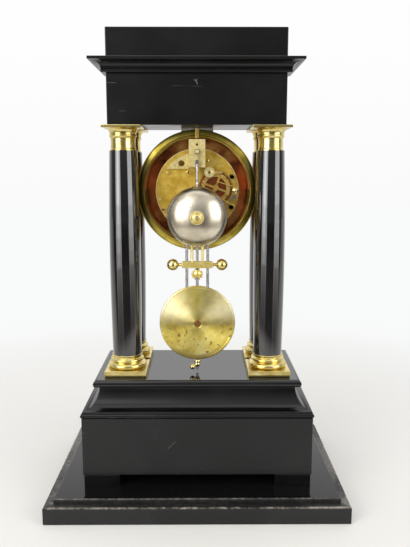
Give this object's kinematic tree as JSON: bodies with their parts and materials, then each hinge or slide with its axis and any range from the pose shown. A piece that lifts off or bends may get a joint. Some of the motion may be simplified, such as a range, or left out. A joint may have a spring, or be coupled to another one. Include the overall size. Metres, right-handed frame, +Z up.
{
  "type": "portico clock",
  "caption": "Ebonised portico mantel clock on a dome board: smooth columns with gilt mounts, open-backed drum movement with bell strike, gridiron pendulum and hinged glazed bezel.",
  "frame": {"origin": "centre of the underside of the board", "axes": "+Z up, -Y towards the dial, +Y towards the open back that the picture shows, +X to the right seen from the dial"},
  "size_m": [0.32, 0.215, 0.5065],
  "materials": {
    "ebonised_wood": "french polished black",
    "gilt_brass": "polished and gilt",
    "movement_brass": "aged lacquer",
    "tarnished_brass": "tarnished",
    "steel": "polished steel",
    "blued_steel": "blued",
    "bell_metal": "silvered",
    "enamel": "gloss enamel",
    "glass": "clear"
  },
  "bodies": {
    "frame": {"base_board": "ebonised_wood", "plinth_feet": "ebonised_wood", "plinth_box": "ebonised_wood", "plinth_moulding": "ebonised_wood", "plinth_top": "ebonised_wood", "column_bases": "gilt_brass", "columns": "ebonised_wood", "capitals": "gilt_brass", "tie_rods": "steel", "frieze_box": "ebonised_wood", "cornice": "ebonised_wood", "attic_block": "ebonised_wood", "drum_case": "tarnished_brass", "rear_rim": "movement_brass", "drum_saddle": "ebonised_wood", "hanger_bolts": "steel", "drum_straps": "movement_brass", "front_ring": "gilt_brass", "hinge_pin": "steel", "dial": "enamel", "back_plate": "movement_brass", "front_plate": "movement_brass", "plate_pillars": "movement_brass", "mainsprings": "blued_steel", "bell": "bell_metal", "bell_stand": "steel", "bell_nut": "gilt_brass", "suspension_cock": "movement_brass", "plate_cock": "movement_brass"},
    "bezel": {"bezel_door": "gilt_brass", "dial_glass": "glass"},
    "centre": {"centre_wheel": "movement_brass", "cannon_pinion": "movement_brass", "minute_hand": "blued_steel"},
    "intermediate": {"intermediate_wheel": "movement_brass"},
    "barrel_going": {"going_barrel": "movement_brass"},
    "arbor_going": {"going_arbor": "steel"},
    "third": {"third_wheel": "movement_brass"},
    "escape": {"escape_wheel": "movement_brass"},
    "pallets": {"pallet_anchor": "steel", "crutch": "steel"},
    "barrel_strike": {"strike_barrel": "movement_brass"},
    "arbor_strike": {"strike_arbor": "steel"},
    "second": {"strike_second_wheel": "movement_brass", "count_wheel": "movement_brass"},
    "pins": {"pin_wheel": "movement_brass"},
    "stop": {"stop_wheel": "movement_brass"},
    "fan": {"fly": "movement_brass"},
    "striker": {"hammer": "steel"},
    "detent": {"count_detent": "movement_brass"},
    "minute": {"minute_wheel": "movement_brass"},
    "hour": {"hour_wheel": "movement_brass", "hour_hand": "blued_steel"},
    "pendulum": {"suspension_spring": "steel", "pendulum_rod": "steel", "steel_rods": "steel", "brass_rods": "gilt_brass", "gridiron_bars": "gilt_brass", "pendulum_bob": "gilt_brass"},
    "rating": {"rating_nut": "gilt_brass"}
  },
  "joints": [
    {"name": "bezel_hinge", "type": "hinge", "parent": "frame", "child": "bezel", "pos_m": [-0.0627, -0.0372, 0.3409], "axis": [0, 0, -1], "range_deg": [0, 85]},
    {"name": "centre_turn", "type": "hinge", "parent": "frame", "child": "centre", "pos_m": [0, -0.012, 0.3409], "axis": [0, 1, 0], "continuous": true},
    {"name": "intermediate_turn", "type": "hinge", "parent": "frame", "child": "intermediate", "pos_m": [0.0168, -0.012, 0.34365], "axis": [0, 1, 0], "continuous": true},
    {"name": "going_barrel_turn", "type": "hinge", "parent": "frame", "child": "barrel_going", "pos_m": [0.02, -0.012, 0.3234], "axis": [0, 1, 0], "continuous": true},
    {"name": "third_turn", "type": "hinge", "parent": "frame", "child": "third", "pos_m": [0.0028, -0.012, 0.35612], "axis": [0, 1, 0], "continuous": true},
    {"name": "escape_turn", "type": "hinge", "parent": "frame", "child": "escape", "pos_m": [0, -0.012, 0.3684], "axis": [0, 1, 0], "continuous": true},
    {"name": "minute_wheel_turn", "type": "hinge", "parent": "frame", "child": "minute", "pos_m": [-0.01091, -0.026, 0.3472], "axis": [0, 1, 0], "continuous": true},
    {"name": "hour_turn", "type": "hinge", "parent": "frame", "child": "hour", "pos_m": [0, -0.028, 0.3409], "axis": [0, 1, 0], "continuous": true},
    {"name": "going_winding", "type": "hinge", "parent": "frame", "child": "arbor_going", "pos_m": [0.02, -0.012, 0.3234], "axis": [0, 1, 0], "continuous": true},
    {"name": "strike_winding", "type": "hinge", "parent": "frame", "child": "arbor_strike", "pos_m": [-0.02, -0.012, 0.3234], "axis": [0, 1, 0], "continuous": true},
    {"name": "stop_turn", "type": "hinge", "parent": "frame", "child": "stop", "pos_m": [-0.03204, -0.012, 0.35834], "axis": [0, 1, 0], "continuous": true},
    {"name": "fly_turn", "type": "hinge", "parent": "frame", "child": "fan", "pos_m": [-0.03782, -0.012, 0.35008], "axis": [0, 1, 0], "continuous": true},
    {"name": "pin_wheel_turn", "type": "hinge", "parent": "frame", "child": "pins", "pos_m": [-0.01904, -0.012, 0.36063], "axis": [0, 1, 0], "continuous": true},
    {"name": "second_turn", "type": "hinge", "parent": "frame", "child": "second", "pos_m": [-0.0205, -0.012, 0.34389], "axis": [0, 1, 0], "continuous": true},
    {"name": "strike_barrel_turn", "type": "hinge", "parent": "frame", "child": "barrel_strike", "pos_m": [-0.02, -0.012, 0.3234], "axis": [0, 1, 0], "continuous": true},
    {"name": "pendulum_swing", "type": "hinge", "parent": "frame", "child": "pendulum", "pos_m": [0, 0.028, 0.3829], "axis": [0, 1, 0], "range_deg": [-3.5, 3.5]},
    {"name": "pallet_rock", "type": "hinge", "parent": "frame", "child": "pallets", "pos_m": [0, 0, 0.3829], "axis": [0, 1, 0], "range_deg": [-3.5, 3.5]},
    {"name": "hammer_lift", "type": "hinge", "parent": "frame", "child": "striker", "pos_m": [-0.0405, 0, 0.3339], "axis": [0, -1, 0], "range_deg": [0, 12]},
    {"name": "detent_lift", "type": "hinge", "parent": "frame", "child": "detent", "pos_m": [-0.0134, 0.0034, 0.3611], "axis": [0, 1, 0], "range_deg": [0, 8]},
    {"name": "rating_nut_turn", "type": "hinge", "parent": "pendulum", "child": "rating", "pos_m": [0, 0.028, 0.1496], "axis": [0, 0, 1], "continuous": true}
  ],
  "couplings": [
    {"joint": "intermediate_turn", "follows": "centre_turn", "ratio": -0.12121},
    {"joint": "going_barrel_turn", "follows": "centre_turn", "ratio": 0.016835},
    {"joint": "third_turn", "follows": "centre_turn", "ratio": -12},
    {"joint": "escape_turn", "follows": "centre_turn", "ratio": 132},
    {"joint": "minute_wheel_turn", "follows": "centre_turn", "ratio": -0.33333},
    {"joint": "hour_turn", "follows": "centre_turn", "ratio": 0.083333},
    {"joint": "fly_turn", "follows": "stop_turn", "ratio": -6},
    {"joint": "pin_wheel_turn", "follows": "stop_turn", "ratio": -0.1},
    {"joint": "second_turn", "follows": "stop_turn", "ratio": 0.011111},
    {"joint": "strike_barrel_turn", "follows": "stop_turn", "ratio": -0.0015432},
    {"joint": "pallet_rock", "follows": "pendulum_swing", "ratio": 1}
  ]
}
